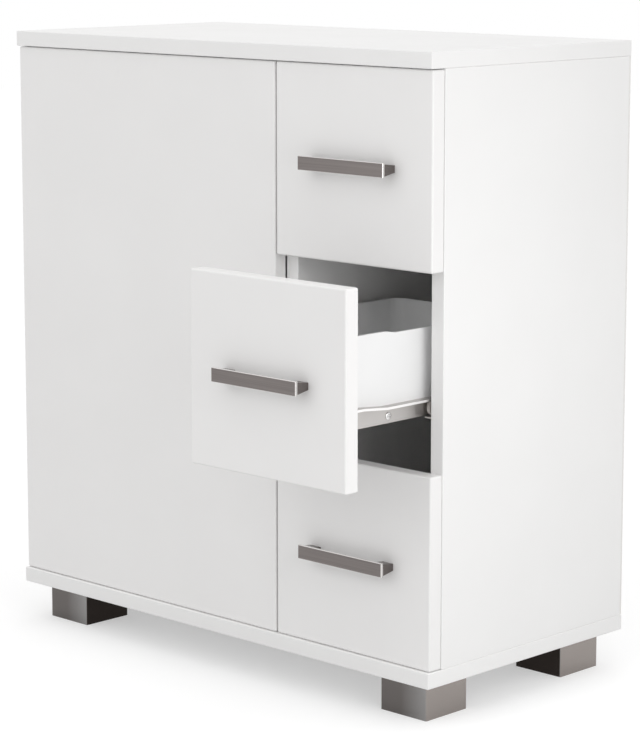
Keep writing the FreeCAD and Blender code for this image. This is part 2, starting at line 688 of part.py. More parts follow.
def latch_screw_holes():
    radius = HINGE_SCREW_RADIUS + FITTING_CLEARANCE
    depth = HINGE_SCREW_LENGTH + FITTING_CLEARANCE
    return [rod(radius, (DIVIDER_LEFT, y, z), (1, 0, 0), depth) for y, z in latch_screw_places()]


def push_latch_plunger():
    tip = FRONT_BACK + STRIKE + PLUNGER_GAP
    pin = rod(PLUNGER_RADIUS, (PLUNGER_X, tip, LATCH_HEIGHT), (0, 1, 0), PLUNGER_LENGTH)
    return rounded(pin, PLUNGER_TIP_RADIUS, lambda edge: edge.BoundBox.YMax < tip + PLUNGER_TIP_RADIUS)


def cabinet_runner():
    """The right channel of one bay, with the stub axle of its front roller."""
    rear = CHANNEL_FRONT + CHANNEL_LENGTH
    upper_floor = RAIL_TOP + CHANNEL_UPPER_GAP
    upper_top = upper_floor + STEEL
    lower_left = BAY_RIGHT - CHANNEL_LOWER_REACH
    upper_left = BAY_RIGHT - CHANNEL_UPPER_REACH
    upper_front = FRONT_BACK + RAIL_RISE_REAR + CHANNEL_UPPER_SETBACK
    web = block(BAY_RIGHT - STEEL, BAY_RIGHT, CHANNEL_FRONT, rear, CHANNEL_FLOOR - STEEL, upper_top)
    lower = block(lower_left, BAY_RIGHT, CHANNEL_FRONT, rear, CHANNEL_FLOOR - STEEL, CHANNEL_FLOOR)
    upper = block(upper_left, BAY_RIGHT, upper_front, rear, upper_floor, upper_top)
    web_face = BAY_RIGHT - STEEL
    shoulder_end = ROLLER_OUTER + AXLE_CLEARANCE
    neck_end = ROLLER_INNER - AXLE_CLEARANCE
    axis = (web_face, FRONT_ROLLER_Y, ROLLER_HEIGHT)
    shoulder = rod(AXLE_HEAD_RADIUS, axis, (-1, 0, 0), web_face - shoulder_end)
    neck = rod(AXLE_RADIUS, axis, (-1, 0, 0), web_face - neck_end)
    head = rod(AXLE_HEAD_RADIUS, (neck_end, FRONT_ROLLER_Y, ROLLER_HEIGHT), (-1, 0, 0), AXLE_HEAD)
    channel = joined([web, lower, upper, shoulder, neck, head])
    radius = RUNNER_SCREW_RADIUS + FITTING_CLEARANCE
    holes = [rod(radius, (web_face, y, z), (1, 0, 0), STEEL) for y, z in channel_screw_places()]
    return channel.cut(holes)


def channel_screw_places():
    return [(CHANNEL_FRONT + place, ROLLER_HEIGHT) for place in CHANNEL_SCREW_PLACES]


def channel_screw():
    head = (RUNNER_SCREW_HEAD_RADIUS, RUNNER_SCREW_HEAD)
    face = BAY_RIGHT - STEEL
    length = CHANNEL_SCREW_LENGTH
    places = channel_screw_places()
    return [screw((face, y, z), (1, 0, 0), RUNNER_SCREW_RADIUS, length, *head) for y, z in places]


def channel_screws():
    screws = []
    for low in drawer_lower_edges().values():
        for one in channel_screw():
            screws += moved(both_sides(one), 0, low)
    return screws


def channel_screw_holes():
    radius = RUNNER_SCREW_RADIUS + FITTING_CLEARANCE
    depth = CHANNEL_SCREW_LENGTH - STEEL + FITTING_CLEARANCE
    holes = []
    for low in drawer_lower_edges().values():
        for y, z in channel_screw_places():
            holes += moved(both_sides(rod(radius, (BAY_RIGHT, y, z), (1, 0, 0), depth)), 0, low)
    return holes


def roller(y):
    outer = rod(ROLLER_RADIUS, (ROLLER_INNER, y, ROLLER_HEIGHT), (1, 0, 0), ROLLER_WIDTH)
    outer = rounded(outer, AXLE_HEAD)
    bore = rod(AXLE_RADIUS + AXLE_CLEARANCE, (ROLLER_INNER, y, ROLLER_HEIGHT), (1, 0, 0), ROLLER_WIDTH)
    return outer.cut(bore)


def rail_line(drop):
    """The (y, z) line of the rail, drop below its top, with its rise towards the front."""
    top = RAIL_TOP - drop
    front = FRONT_BACK + RAIL_FRONT_SETBACK
    return [
        (front, top + RAIL_RISE),
        (FRONT_BACK + RAIL_RISE_FRONT, top + RAIL_RISE),
        (FRONT_BACK + RAIL_RISE_REAR, top),
        (FRONT_BACK + TRAY_LENGTH, top),
    ]


def drawer_runner():
    """The right rail of one drawer, folded from sheet, with the stub axle of its rear roller."""
    web_face = TRAY_RIGHT + STEEL
    rail_edge = TRAY_RIGHT + RAIL_REACH
    low = TRAY_UNDERSIDE - STEEL
    rear = FRONT_BACK + TRAY_LENGTH
    front = FRONT_BACK + RAIL_FRONT_SETBACK
    web = side_extrusion(rail_line(0) + [(rear, low), (front, low)], TRAY_RIGHT, web_face)
    rail = side_extrusion(rail_line(0) + rail_line(STEEL)[::-1], TRAY_RIGHT, rail_edge)
    hem = side_extrusion(rail_line(0) + rail_line(RAIL_HEM)[::-1], rail_edge - STEEL, rail_edge)
    under = block(TRAY_RIGHT - TRAY_FLANGE, web_face, front, rear, low, TRAY_UNDERSIDE)
    neck_end = ROLLER_OUTER + AXLE_CLEARANCE
    axis = (web_face, REAR_ROLLER_Y, ROLLER_HEIGHT)
    shoulder = rod(AXLE_HEAD_RADIUS, axis, (1, 0, 0), ROLLER_INNER - AXLE_CLEARANCE - web_face)
    neck = rod(AXLE_RADIUS, axis, (1, 0, 0), neck_end - web_face)
    head = rod(AXLE_HEAD_RADIUS, (neck_end, REAR_ROLLER_Y, ROLLER_HEIGHT), (1, 0, 0), AXLE_HEAD)
    folded = joined([web, rail, hem, under, shoulder, neck, head])
    return folded.cut(drawer_runner_screw_holes())


def drawer_runner_screw_places():
    return [(FRONT_BACK + place, RUNNER_SCREW_HEIGHT) for place in RUNNER_SCREW_PLACES]


def drawer_runner_screw_holes():
    radius = RUNNER_SCREW_RADIUS + FITTING_CLEARANCE
    depth = STEEL + TRAY_WALL
    start = TRAY_RIGHT - TRAY_WALL
    return [rod(radius, (start, y, z), (1, 0, 0), depth) for y, z in drawer_runner_screw_places()]


def drawer_runner_screws():
    head = (RUNNER_SCREW_HEAD_RADIUS, RUNNER_SCREW_HEAD)
    face = TRAY_RIGHT + STEEL
    length = STEEL + TRAY_WALL
    screws = []
    for y, z in drawer_runner_screw_places():
        screws += both_sides(screw((face, y, z), (-1, 0, 0), RUNNER_SCREW_RADIUS, length, *head))
    return screws


def handle_screw_places():
    half = HANDLE_SCREW_PITCH / 2
    z = DRAWER_FRONT_HEIGHT / 2
    return [(HANDLE_MIDDLE - half, z), (HANDLE_MIDDLE + half, z)]


def handle_screw_holes():
    radius = HANDLE_SCREW_RADIUS + FITTING_CLEARANCE
    start = FRONT_FACE - HANDLE_SCREW_DEPTH - FITTING_CLEARANCE
    depth = FRONT_BACK + TRAY_WALL - start
    return [rod(radius, (x, start, z), (0, 1, 0), depth) for x, z in handle_screw_places()]


def handle_screws():
    head = (HANDLE_SCREW_HEAD_RADIUS, HANDLE_SCREW_HEAD)
    length = TRAY_WALL + FRONT_BOARD + HANDLE_SCREW_DEPTH
    start = FRONT_BACK + TRAY_WALL
    places = handle_screw_places()
    return [screw((x, start, z), (0, -1, 0), HANDLE_SCREW_RADIUS, length, *head) for x, z in places]


def handle():
    """A flat bar held off the front by two end legs that narrow towards the front."""
    middle = DRAWER_FRONT_HEIGHT / 2
    top = middle + HANDLE_HEIGHT / 2
    low = middle - HANDLE_HEIGHT / 2
    bar_front = FRONT_FACE - HANDLE_STANDOFF
    bar_rear = bar_front + HANDLE_BAR
    left = HANDLE_MIDDLE - HANDLE_LENGTH / 2
    right = HANDLE_MIDDLE + HANDLE_LENGTH / 2
    bar = block(left, right, bar_front, bar_rear, low, top)
    bar = rounded(bar, HANDLE_EDGE_RADIUS, lambda edge: edge.BoundBox.YMax < bar_rear - HANDLE_EDGE_RADIUS)
    root_top = top - HANDLE_LEG_ROOT_DROP
    root_low = root_top - HANDLE_LEG_ROOT_HEIGHT
    outline = [
        (bar_rear, top - HANDLE_LEG_TOP_DROP),
        (FRONT_FACE, root_top),
        (FRONT_FACE, root_low),
        (bar_rear, low + HANDLE_LEG_LOW_RISE),
    ]
    left_leg = side_extrusion(outline, left + HANDLE_LEG_INSET, left + HANDLE_LEG)
    right_leg = side_extrusion(outline, right - HANDLE_LEG, right - HANDLE_LEG_INSET)
    return joined([bar, left_leg, right_leg]).cut(handle_screw_holes())


def drawer_front():
    """A board with well rounded front edges and nearly sharp rear ones, which close against the carcass."""
    board = block(DRAWER_FRONT_LEFT, DRAWER_FRONT_RIGHT, FRONT_FACE, FRONT_BACK, 0, DRAWER_FRONT_HEIGHT)
    rear = FRONT_BACK - DRAWER_REAR_EDGE_RADIUS
    board = rounded(board, FRONT_EDGE_RADIUS, lambda edge: edge.BoundBox.YMin < rear)
    board = rounded(board, DRAWER_REAR_EDGE_RADIUS, lambda edge: edge.BoundBox.YMin > rear)
    return board.cut(handle_screw_holes())


def tray_rim_cutter():
    """What is cut off above the tray's rim, which falls in a soft wave behind the front."""
    rear = FRONT_BACK + TRAY_LENGTH
    start = FRONT_BACK + TRAY_WAVE_START
    end = FRONT_BACK + TRAY_WAVE_END
    reach = (end - start) / 2
    x0 = TRAY_RIGHT - TRAY_WIDTH
    high = TRAY_FRONT_TOP
    wave = Part.BezierCurve()
    wave.setPoles([
        Vector(x0, start, high),
        Vector(x0, start + reach, high),
        Vector(x0, end - reach, TRAY_REAR_TOP),
        Vector(x0, end, TRAY_REAR_TOP),
    ])
    rim_end = Vector(x0, rear, TRAY_REAR_TOP)
    top_rear = Vector(x0, rear, high)
    edges = [
        wave.toShape(),
        Part.makeLine(Vector(x0, end, TRAY_REAR_TOP), rim_end),
        Part.makeLine(rim_end, top_rear),
        Part.makeLine(top_rear, Vector(x0, start, high)),
    ]
    return Part.Face(Part.Wire(edges)).extrude(Vector(TRAY_WIDTH, 0, 0))


def tray_form(inset, floor, lower_radius):
    """A block with rounded rear corners and lower edges, drawn in by inset and standing on floor."""
    x0 = TRAY_RIGHT - TRAY_WIDTH + inset
    x1 = TRAY_RIGHT - inset
    y0 = FRONT_BACK + inset
    y1 = FRONT_BACK + TRAY_LENGTH - inset
    form = block(x0, x1, y0, y1, floor, TRAY_FRONT_TOP)
    form = rounded(form, TRAY_REAR_CORNER - inset, lambda e: runs_along(e, 2) and e.BoundBox.YMin > y0)
    below = floor + lower_radius

    def is_lower(edge):
        return edge.BoundBox.ZMax < below and edge.BoundBox.YMax > y0 + inset

    return rounded(form, lower_radius, is_lower)


def drawer_tray():
    """A moulded tray, open at the top, fixed behind the drawer front."""
    outer = tray_form(0.0, TRAY_UNDERSIDE, TRAY_BOTTOM_RADIUS)
    inner = tray_form(TRAY_WALL, TRAY_UNDERSIDE + TRAY_WALL, TRAY_INNER_RADIUS)
    holes = handle_screw_holes()
    for hole in drawer_runner_screw_holes():
        holes += both_sides(hole)
    return outer.cut([inner, tray_rim_cutter()] + holes)


def drawer_lower_edges():
    """The height of each drawer front's lower edge, by the drawer's name."""
    return {name: FRONTS_BOTTOM + i * DRAWER_PITCH for i, name in enumerate(DRAWER_NAMES)}


def write_carcass():
    for name, panel in carcass_panels().items():
        write(name, [panel])
    write("shelf", [shelf()])
    write("shelf_pins", shelf_pins(0.0))
    write("cam_locks", cam_locks())
    write("cam_bolts", cam_bolts())
    write("dowels", dowels(0.0))
    write("back_panel_nails", nails(0.0))
    for name, (x, y) in foot_corners().items():
        write(f"foot_{name}", [foot(x, y)])
    write("foot_screws", foot_screws())


def write_door():
    write("door_panel", [door_panel()])
    for name, z in HINGE_HEIGHTS.items():
        write(f"hinge_arm_{name}", [hinge_arm(z)])
        write(f"hinge_plate_{name}", [hinge_plate(z)])
        write(f"hinge_cup_{name}", [hinge_cup(z)])
    write("hinge_pins", [hinge_pin(z) for z in HINGE_HEIGHTS.values()])
    write("hinge_plate_screws", hinge_plate_screws())
    write("hinge_cup_screws", hinge_cup_screws())
    write("push_latch_body", [push_latch_body()])
    write("push_latch_screws", latch_screws())
    write("push_latch_plunger", [push_latch_plunger()])
    write("latch_strike", [latch_strike()])


def write_drawers():
    channels = both_sides(cabinet_runner())
    front_rollers = both_sides(roller(FRONT_ROLLER_Y))
    drawer_pieces = {
        "drawer_front": [drawer_front()],
        "drawer_tray": [drawer_tray()],
        "handle": [handle()],
        "handle_screws": handle_screws(),
        "drawer_runners": both_sides(drawer_runner()),
        "runner_screws": drawer_runner_screws(),
        "rear_rollers": both_sides(roller(REAR_ROLLER_Y)),
    }
    write("cabinet_runner_screws", channel_screws())
    for name, low in drawer_lower_edges().items():
        opening = MIDDLE_DRAWER_OPENING if name == "middle" else 0.0
        write(f"cabinet_runners_{name}", moved(channels, 0, low))
        write(f"front_rollers_{name}", moved(front_rollers, 0, low))
        for piece, shapes in drawer_pieces.items():
            write(f"{piece}_{name}", moved(shapes, -opening, low))


os.makedirs("parts", exist_ok=True)
write_carcass()
write_door()
write_drawers()
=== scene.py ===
import json
import math
from dataclasses import dataclass

import bmesh
import bpy
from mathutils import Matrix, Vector


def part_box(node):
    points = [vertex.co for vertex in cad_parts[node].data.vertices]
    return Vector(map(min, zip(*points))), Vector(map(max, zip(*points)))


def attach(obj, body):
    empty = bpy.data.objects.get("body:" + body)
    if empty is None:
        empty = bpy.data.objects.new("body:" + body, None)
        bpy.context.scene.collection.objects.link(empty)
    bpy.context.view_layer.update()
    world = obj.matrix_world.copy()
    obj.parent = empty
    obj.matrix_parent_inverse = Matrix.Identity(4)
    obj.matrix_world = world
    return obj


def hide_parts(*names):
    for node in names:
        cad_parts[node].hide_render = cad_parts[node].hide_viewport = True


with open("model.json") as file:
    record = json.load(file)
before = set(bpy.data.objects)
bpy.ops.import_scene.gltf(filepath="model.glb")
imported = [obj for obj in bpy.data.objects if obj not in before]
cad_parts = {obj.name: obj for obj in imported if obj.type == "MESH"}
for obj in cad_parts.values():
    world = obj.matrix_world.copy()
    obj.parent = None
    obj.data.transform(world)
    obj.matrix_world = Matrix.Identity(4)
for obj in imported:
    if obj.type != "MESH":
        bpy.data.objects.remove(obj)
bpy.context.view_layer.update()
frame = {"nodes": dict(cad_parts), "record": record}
NODES = frame["nodes"]
RECORD = frame["record"]
BODIES = RECORD["behaviour"]["bodies"]
BODY_OF = {node: body for body, nodes in BODIES.items() for node in nodes}
SLOT_OF = {row["node"]: row["material_slot"] for row in RECORD["subparts"]}
DRAWERS = ("bottom", "middle", "top")
AXIS_X = 0
AXIS_Y = 1
AXIS_Z = 2

# Camera, fitted to the photograph's panel corners
IMAGE_HEIGHT = 744
FOCAL_PIXELS = 2641
SENSOR = 36.0
CAMERA_PLACE = Vector((1.926, -1.982, 0.7845))
CAMERA_AZIMUTH = math.radians(44.03)
CAMERA_PITCH = math.radians(8.78)
CAMERA_SHIFT_UP = -0.08
CAMERA_REACH = 100.0

# Light and floor: levels are shares of white, lamp powers are in watts
HORIZON_LIGHT = 0.42
ZENITH_LIGHT = 1.23
BACKDROP_COLOUR = (1.0, 1.0, 1.0)
KEY_PLACE = Vector((0.995, -0.305, 0.50))
KEY_SIZE = 0.5
KEY_POWER = 2.3
FRONT_PLACE = Vector((-0.40, -1.70, 0.90))
FRONT_SIZE = 1.4
FRONT_POWER = 4.5
LIGHT_TARGET = Vector((0.0, 0.0, 0.33))
FLOOR_SIZE = 14.0
FLOOR_COLOUR = (0.62, 0.62, 0.62)
FLOOR_GLOW = 0.42

# The span that noise values mostly keep to
NOISE_LOW = 0.3
NOISE_HIGH = 0.7

# Finishes: the colour and roughness of each plain material slot
BOARDS = {
    "white_board": ((0.875, 0.870, 0.864), 0.45),
    "white_front": ((0.870, 0.862, 0.856), 0.38),
    "back_board": ((0.80, 0.79, 0.77), 0.60),
}
PLASTICS = {
    "tray_plastic": ((0.86, 0.86, 0.86), 0.34),
    "roller_plastic": ((0.52, 0.485, 0.46), 0.40),
    "latch_grey": ((0.35, 0.35, 0.36), 0.45),
    "latch_white": ((0.80, 0.80, 0.79), 0.40),
}

# Plated steel: colour, roughness and the mottle's features in a metre
PLATED = {
    "hinge_steel": ((0.62, 0.60, 0.57), 0.25, 60.0),
    "zinc_steel": ((0.74, 0.735, 0.73), 0.22, 200.0),
}

# Handles: brushed along X; the edges of the bar, which is as thick as HANDLE_BAR, are smoother and carry
# a painted highlight
HANDLE_COLOUR = (0.182, 0.164, 0.158)
HANDLE_ROUGHNESS = 0.34
HANDLE_LINES = (10.0, 900.0, 900.0)
HANDLE_BAR = 0.0028
BAR_BLEND = 0.01
POLISH_AND_HIGHLIGHT_START = -0.99
POLISH_AND_HIGHLIGHT_FULL = -0.90
HANDLE_EDGE_PAINTED_HIGHLIGHT = (0.82, 0.80, 0.79)
HANDLE_EDGE_ROUGHNESS = 0.15

# Feet: a painted sheen across the front, sides painted lighter, and painted shade on the faces turned
# under the cabinet
FOOT_FRONT_PAINTED_SHADE = (0.135, 0.124, 0.119)
FOOT_PAINTED_SHEEN = (0.265, 0.26, 0.257)
PAINTED_SHEEN_START = 0.45
FOOT_SIDE_PAINTED_LIGHT = (0.30, 0.272, 0.255)
SIDE_START = 0.3
SIDE_FULL = 0.8
FOOT_PAINTED_SHADE_UNDER = (0.034, 0.028, 0.025)
FOOT_TURN = 0.03
FOOT_CLOUD = (90.0, 90.0, 45.0)
FOOT_DETAIL = 3.0
FOOT_SMOOTHEST = 0.20
FOOT_ROUGHEST = 0.26
FOOT_GRAIN = 1500.0
FOOT_BUMP = 0.03
FOOT_GRAIN_DEPTH = 0.0001

# Runners: pressed steel, with painted light on the outermost HEM_SKIN of the hem
RUNNER_WEB = (0.56, 0.54, 0.525)
RUNNER_ROUGHNESS = 0.41
RUNNER_HEM_PAINTED_LIGHT = (0.95, 0.935, 0.925)
HEM_SKIN = 0.0004

# Dowels: turned beech with its grain upright
DOWEL_COLOUR = (0.55, 0.40, 0.24)
DOWEL_ROUGHNESS = 0.675
DOWEL_GRAIN = (900.0, 900.0, 40.0)

# Screws: shares of the head's radius and height, and the axis of each node's screws
WELD = 0.00001
SHARP_ANGLE = math.radians(35.0)
SCREW_SEGMENTS = 32
HEAD_SHARE = 0.9
HEAD_RIM = 0.45
DOME_RINGS = (0.97, 0.90, 0.80, 0.68, 0.59, 0.50, 0.40, 0.30, 0.20, 0.10)
RECESS_HALF_WIDTH = 0.15
RECESS_REACH = 0.57
RECESS_DEPTH = 0.70
RECESS_SLOPE = 0.5
TIP_RADIUS = 0.6
SCREW_AXES = {
    "foot_screws": AXIS_Z,
    "hinge_plate_screws": AXIS_X,
    "hinge_cup_screws": AXIS_Y,
    "push_latch_screws": AXIS_X,
    "cabinet_runner_screws": AXIS_X,
}
for drawer in DRAWERS:
    SCREW_AXES[f"runner_screws_{drawer}"] = AXIS_X
    SCREW_AXES[f"handle_screws_{drawer}"] = AXIS_Y

# Rollers: shares of the roller's radius and half width
ROLLER_SEGMENTS = 48
HUB_RADIUS = 0.50
RIM_RADIUS = 0.80
WEB_DEPTH = 0.45
WEB_SLOPE = 0.03
TREAD_EDGE = 0.07
TREAD_SHOULDER = 0.9
TREAD_CROWN = 0.02
TREAD_FLAT = 0.4


@dataclass
class Clouds:
    """Soft clouds over a fine grain: features in a metre, and how far tone, gloss and height change."""
    cloud: float
    gloss: float
    detail: float
    grain: float
    grain_detail: float
    darker: float
    lighter: float
    gloss_change: float
    bump: float
    depth: float


@dataclass
class Streaks:
    """Streaks that tone, gloss and height follow together, and how far each of them changes."""
    detail: float
    darker: float
    lighter: float
    gloss_change: float
    bump: float
    depth: float


MELAMINE = Clouds(
    cloud=9.0, gloss=40.0, detail=3.0, grain=1800.0, grain_detail=2.0,
    darker=0.012, lighter=0.008, gloss_change=0.05, bump=0.06, depth=0.0002,
)
MOULDED = Clouds(
    cloud=14.0, gloss=60.0, detail=2.0, grain=2600.0, grain_detail=1.0,
    darker=0.02, lighter=0.01, gloss_change=0.06, bump=0.05, depth=0.0001,
)
PRESSED = Clouds(
    cloud=14.0, gloss=60.0, detail=2.0, grain=2600.0, grain_detail=1.0,
    darker=0.04, lighter=0.04, gloss_change=0.05, bump=0.05, depth=0.0001,
)
BRUSHED = Streaks(detail=4.0, darker=0.11, lighter=0.11, gloss_change=0.06, bump=0.10, depth=0.0002)
BEECH = Streaks(detail=4.0, darker=0.18, lighter=0.12, gloss_change=0.075, bump=0.15, depth=0.0003)


class Nodes:
    """A node tree, with short ways to add to it."""

    def __init__(self, tree):
        self.tree = tree

    def feed(self, socket, value):
        """Gives an input its value, or a link to the output that makes it."""
        if isinstance(value, bpy.types.NodeSocket):
            self.tree.links.new(value, socket)
        elif socket.type == "RGBA":
            socket.default_value = (*value, 1.0)
        else:
            socket.default_value = value

    def set(self, node, **inputs):
        """Feeds a node's inputs by name, with _ for spaces."""
        for name, value in inputs.items():
            self.feed(node.inputs[name.replace("_", " ")], value)

    def add(self, kind, *values, **inputs):
        """A new node, with its inputs fed in their order or by name."""
        node = self.tree.nodes.new("ShaderNode" + kind)
        for socket, value in zip(node.inputs, values):
            self.feed(socket, value)
        self.set(node, **inputs)
        return node

    def calculate(self, kind, operation, *values):
        """The result of a node that calculates."""
        node = self.add(kind, *values)
        node.operation = operation
        return node.outputs["Value"]

    def axis(self, vector, name):
        """One axis of a vector."""
        return self.add("SeparateXYZ", vector).outputs[name]

    def ramp(self, value, start, end, low=0.0, high=1.0):
        """Goes from low to high as the value goes from start to end."""
        node = self.add("MapRange", Value=value, From_Min=start, From_Max=end, To_Min=low, To_Max=high)
        return node.outputs[0]

    def background_rays(self):
        """1 for the rays that see the background itself: camera, glossy and transmission rays."""
        path = self.add("LightPath")
        seen = path.outputs["Is Camera Ray"]
        for name in ("Is Glossy Ray", "Is Transmission Ray"):
            seen = self.calculate("Math", "MAXIMUM", seen, path.outputs[name])
        return seen


class Finish(Nodes):
    """A material being made: its shader, and the coordinates that it is laid out on."""

    def __init__(self, name, metallic=0.0):
        self.material = bpy.data.materials.new(name)
        self.material.use_nodes = True
        super().__init__(self.material.node_tree)
        self.shader = self.tree.nodes["Principled BSDF"]
        self.set(self.shader, Metallic=metallic)
        coordinates = self.add("TexCoord")
        self.place = coordinates.outputs["Object"]
        self.share = coordinates.outputs["Generated"]
        self.facing = coordinates.outputs["Normal"]

    def noise(self, scale, detail=2.0, stretch=(1.0, 1.0, 1.0)):
        """A noise value about 0.5, with scale features in a metre, squeezed per axis by stretch."""
        laid = self.add("Mapping", Vector=self.place, Scale=stretch)
        return self.add("TexNoise", Vector=laid.outputs[0], Scale=scale, Detail=detail).outputs[0]

    def spread(self, value, low, high):
        """Maps a noise value to the span from low to high."""
        return self.ramp(value, NOISE_LOW, NOISE_HIGH, low, high)

    def tint(self, value, first, second):
        """Blends two colours, each given or made by a node, by a value from 0 to 1."""
        node = self.add("Mix", value)
        node.data_type = "RGBA"
        colours = [socket for socket in node.inputs if socket.type == "RGBA"]
        for socket, colour in zip(colours, (first, second)):
            self.feed(socket, colour)
        return node.outputs[2]

    def bump(self, height, strength, depth):
        node = self.add("Bump", Height=height, Strength=strength, Distance=depth)
        self.set(self.shader, Normal=node.outputs[0])

    def paint(self, colour, roughness):
        self.set(self.shader, Base_Color=colour, Roughness=roughness)


def shade(colour, amount):
    """The colour made lighter or darker by that share."""
    return tuple(min(1.0, channel * (1.0 + amount)) for channel in colour)


def varied(finish, pattern, tone, gloss, colour, roughness):
    """The colour and the roughness as two noise values change them."""
    even = finish.spread(tone, 0.0, 1.0)
    return (
        finish.tint(even, shade(colour, -pattern.darker), shade(colour, pattern.lighter)),
        finish.spread(gloss, roughness - pattern.gloss_change, roughness + pattern.gloss_change),
    )


def clouded(finish, pattern, colour, roughness):
    """The colour and roughness of a clouded surface, which gets its grain."""
    finish.bump(finish.noise(pattern.grain, pattern.grain_detail), pattern.bump, pattern.depth)
    tone = finish.noise(pattern.cloud, pattern.detail)
    gloss = finish.noise(pattern.gloss, pattern.detail)
    return varied(finish, pattern, tone, gloss, colour, roughness)


def streaked(finish, pattern, stretch, colour, roughness):
    """The colour and roughness of a streaked surface, which gets its lines."""
    streak = finish.noise(1.0, pattern.detail, stretch)
    finish.bump(streak, pattern.bump, pattern.depth)
    return varied(finish, pattern, streak, streak, colour, roughness)


def clouded_finish(name, pattern, colour, roughness):
    """Melamine or moulded plastic, with a faint change of tone and gloss."""
    finish = Finish(name)
    finish.paint(*clouded(finish, pattern, colour, roughness))
    return finish.material


def plated_finish(name, colour, roughness, mottle):
    """Plated steel with a fine mottle."""
    finish = Finish(name, metallic=1.0)
    finish.paint(*streaked(finish, BRUSHED, (mottle, mottle, mottle), colour, roughness))
    return finish.material


def handle_finish(name):
    """Brushed nickel; the edges and ends of the bar are smoother and carry a bright painted highlight."""
    finish = Finish(name, metallic=1.0)
    colour, roughness = streaked(finish, BRUSHED, HANDLE_LINES, HANDLE_COLOUR, HANDLE_ROUGHNESS)
    low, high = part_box("handle_top")
    bar_share = HANDLE_BAR / (high[AXIS_Y] - low[AXIS_Y])
    # Painted highlight: the bar's edges and ends are painted bright, and are made smoother too.
    turned = finish.ramp(finish.axis(finish.facing, "Y"), POLISH_AND_HIGHLIGHT_START, POLISH_AND_HIGHLIGHT_FULL)
    depth = finish.axis(finish.share, "Y")
    polish_and_painted_highlight = finish.ramp(depth, bar_share, bar_share - BAR_BLEND, 0.0, turned)
    finish.paint(
        finish.tint(polish_and_painted_highlight, colour, HANDLE_EDGE_PAINTED_HIGHLIGHT),
        finish.ramp(polish_and_painted_highlight, 0.0, 1.0, roughness, HANDLE_EDGE_ROUGHNESS),
    )
    return finish.material


def foot_finish(name):
    """Satin metallic look: sides painted lighter, fronts with a painted sheen to one edge, painted shade
    under the cabinet.
    """
    finish = Finish(name, metallic=1.0)
    # Painted sheen: the fronts are painted dark, growing lighter towards one edge.
    sheen = finish.ramp(finish.axis(finish.share, "X"), PAINTED_SHEEN_START, 1.0)
    front = finish.tint(sheen, FOOT_FRONT_PAINTED_SHADE, FOOT_PAINTED_SHEEN)
    # Painted light: faces turned along X are painted lighter than the fronts.
    sideways = finish.calculate("Math", "ABSOLUTE", finish.axis(finish.facing, "X"))
    metal_with_painted_light = finish.tint(finish.ramp(sideways, SIDE_START, SIDE_FULL), front, FOOT_SIDE_PAINTED_LIGHT)
    # Painted shade: faces turned in under the cabinet are painted near black.
    outward = finish.calculate("VectorMath", "DOT_PRODUCT", finish.place, finish.facing)
    cloud = finish.noise(1.0, FOOT_DETAIL, FOOT_CLOUD)
    finish.paint(
        finish.tint(finish.ramp(outward, -FOOT_TURN, FOOT_TURN), FOOT_PAINTED_SHADE_UNDER, metal_with_painted_light),
        finish.spread(cloud, FOOT_SMOOTHEST, FOOT_ROUGHEST),
    )
    finish.bump(finish.noise(FOOT_GRAIN), FOOT_BUMP, FOOT_GRAIN_DEPTH)
    return finish.material


def runner_finish(name):
    """Pressed steel, with bright painted light on the outer face of the hem."""
    finish = Finish(name, metallic=1.0)
    web, roughness = clouded(finish, PRESSED, RUNNER_WEB, RUNNER_ROUGHNESS)
    low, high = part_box("drawer_runners_top")
    skin = HEM_SKIN / (high[AXIS_X] - low[AXIS_X])
    # Painted light: the outermost skin of the hem is painted bright.
    across = finish.axis(finish.share, "X")
    inside = finish.ramp(across, 0.0, skin)
    inside = finish.ramp(across, 1.0, 1.0 - skin, 0.0, inside)
    finish.paint(finish.tint(inside, RUNNER_HEM_PAINTED_LIGHT, web), roughness)
    return finish.material


def dowel_finish(name):
    """Turned beech."""
    finish = Finish(name)
    finish.paint(*streaked(finish, BEECH, DOWEL_GRAIN, DOWEL_COLOUR, DOWEL_ROUGHNESS))
    return finish.material


def make_finishes():
    """The finish of every material slot."""
    finishes = {
        "foot_metal_look": foot_finish("finish_foot_metal_look"),
        "handle_nickel": handle_finish("finish_handle_nickel"),
        "runner_steel": runner_finish("finish_runner_steel"),
        "dowel_wood": dowel_finish("finish_dowel_wood"),
    }
    for slot, (colour, roughness) in BOARDS.items():
        finishes[slot] = clouded_finish(f"finish_{slot}", MELAMINE, colour, roughness)
    for slot, (colour, roughness) in PLASTICS.items():
        finishes[slot] = clouded_finish(f"finish_{slot}", MOULDED, colour, roughness)
    for slot, (colour, roughness, mottle) in PLATED.items():
        finishes[slot] = plated_finish(f"finish_{slot}", colour, roughness, mottle)
    return finishes


FINISHES = make_finishes()


def solids_of(node):
    """The points of each solid of a CAD node."""
    work = bmesh.new()
    work.from_mesh(NODES[node].data)
    bmesh.ops.remove_doubles(work, verts=work.verts, dist=WELD)
    seen = set()
    solids = []
    for start in work.verts:
        if start in seen:
            continue
        seen.add(start)
        reached = [start]
        for vert in reached:
            for edge in vert.link_edges:
                other = edge.other_vert(vert)
                if other not in seen:
                    seen.add(other)
                    reached.append(other)
        solids.append([vert.co.copy() for vert in reached])
    work.free()
    return solids


